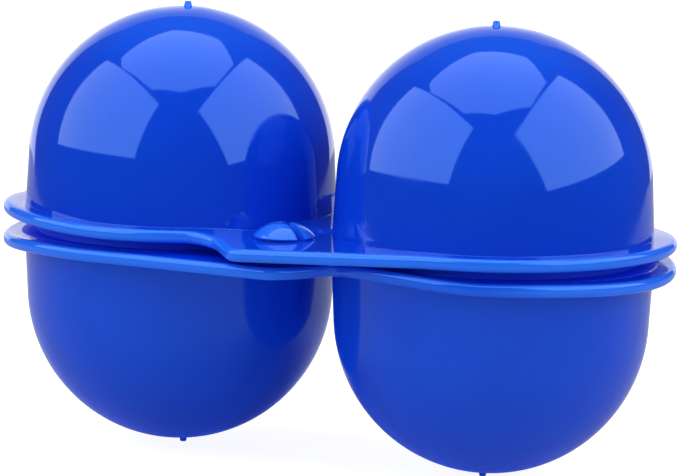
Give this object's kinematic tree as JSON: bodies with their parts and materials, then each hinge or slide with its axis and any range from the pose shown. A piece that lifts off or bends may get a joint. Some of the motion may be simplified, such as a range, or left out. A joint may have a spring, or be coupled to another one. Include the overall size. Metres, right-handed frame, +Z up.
{
  "type": "egg keeper",
  "caption": "Egg keeper with paired domed cups in a flanged base and a flip lid, joined by a clip hinge and held shut by a slotted snap stud.",
  "frame": {"origin": "below the middle of the bounding box, on the level of the two lower moulding tips", "axes": "+X along the pair of cups, -Y towards the snap tab at the front, +Z up from the base domes to the lid domes"},
  "size_m": [0.113, 0.068, 0.0728],
  "materials": {
    "base_blue": "gloss, royal blue polypropylene",
    "lid_blue": "gloss, royal blue polypropylene"
  },
  "bodies": {
    "base": {"base_cup_left": "base_blue", "base_cup_right": "base_blue", "base_flange": "base_blue", "snap_stud": "base_blue", "hinge_ears": "base_blue", "hinge_bar": "base_blue"},
    "lid": {"lid_cup_left": "lid_blue", "lid_cup_right": "lid_blue", "lid_flange": "lid_blue", "hinge_clip": "lid_blue"}
  },
  "joints": [
    {"name": "lid_hinge", "type": "hinge", "parent": "base", "child": "lid", "pos_m": [0, 0.03105, 0.0363], "axis": [-1, 0, 0], "range_deg": [0, 180]}
  ]
}
